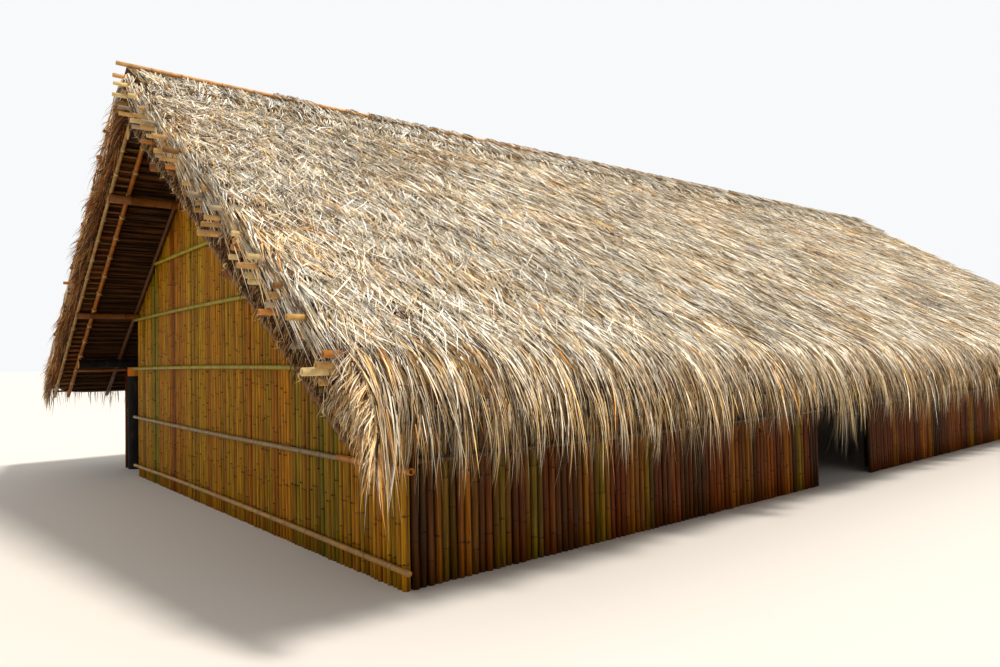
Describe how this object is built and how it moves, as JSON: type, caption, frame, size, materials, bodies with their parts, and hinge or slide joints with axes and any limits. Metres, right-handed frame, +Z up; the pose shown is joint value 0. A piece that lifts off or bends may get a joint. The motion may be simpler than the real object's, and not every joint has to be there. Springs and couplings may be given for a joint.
{
  "type": "bamboo house with thatched gable roof",
  "caption": "Long low house with upright cane walls, a charred log frame and a steep thatched gable roof on bamboo rafters, standing on the ground.",
  "frame": {"origin": "on the ground under the middle of the roof", "axes": "+X along the ridge, -Y out of the long wall with the doorway, +Z up"},
  "size_m": [16.84, 10.26, 4.7649],
  "materials": {
    "cane_wall": "split by dark gaps, satin",
    "batten": "satin",
    "charred_log": "charred, matte",
    "roof_bamboo": "satin",
    "lath": "matte, dark with smoke",
    "thatch": "dry leaf blades, matte",
    "stick": "satin, open hollow ends",
    "ridge_thatch": "dry leaf blades, matte"
  },
  "bodies": {
    "root": {"gable_wall_left": "cane_wall", "gable_wall_right": "cane_wall", "front_wall_left": "cane_wall", "front_wall_right": "cane_wall", "back_wall": "cane_wall", "gable_battens_left": "batten", "gable_battens_right": "batten", "front_rails": "batten", "back_rails": "batten", "wall_posts_front": "charred_log", "wall_posts_back": "charred_log", "ridge_posts": "charred_log", "wall_plate_front": "charred_log", "wall_plate_back": "charred_log", "ridge_beam": "charred_log", "purlins_front": "roof_bamboo", "purlins_back": "roof_bamboo", "rafters_front": "roof_bamboo", "rafters_back": "roof_bamboo", "laths_front": "lath", "laths_back": "lath", "thatch_front_1": "thatch", "thatch_front_2": "thatch", "thatch_front_3": "thatch", "thatch_front_4": "thatch", "thatch_front_5": "thatch", "thatch_front_6": "thatch", "thatch_front_7": "thatch", "thatch_back_1": "thatch", "thatch_back_2": "thatch", "thatch_back_3": "thatch", "thatch_back_4": "thatch", "thatch_back_5": "thatch", "thatch_back_6": "thatch", "thatch_back_7": "thatch", "thatch_sticks_front": "stick", "thatch_sticks_back": "stick", "ridge_pole": "stick", "ridge_cap": "ridge_thatch"}
  },
  "joints": []
}
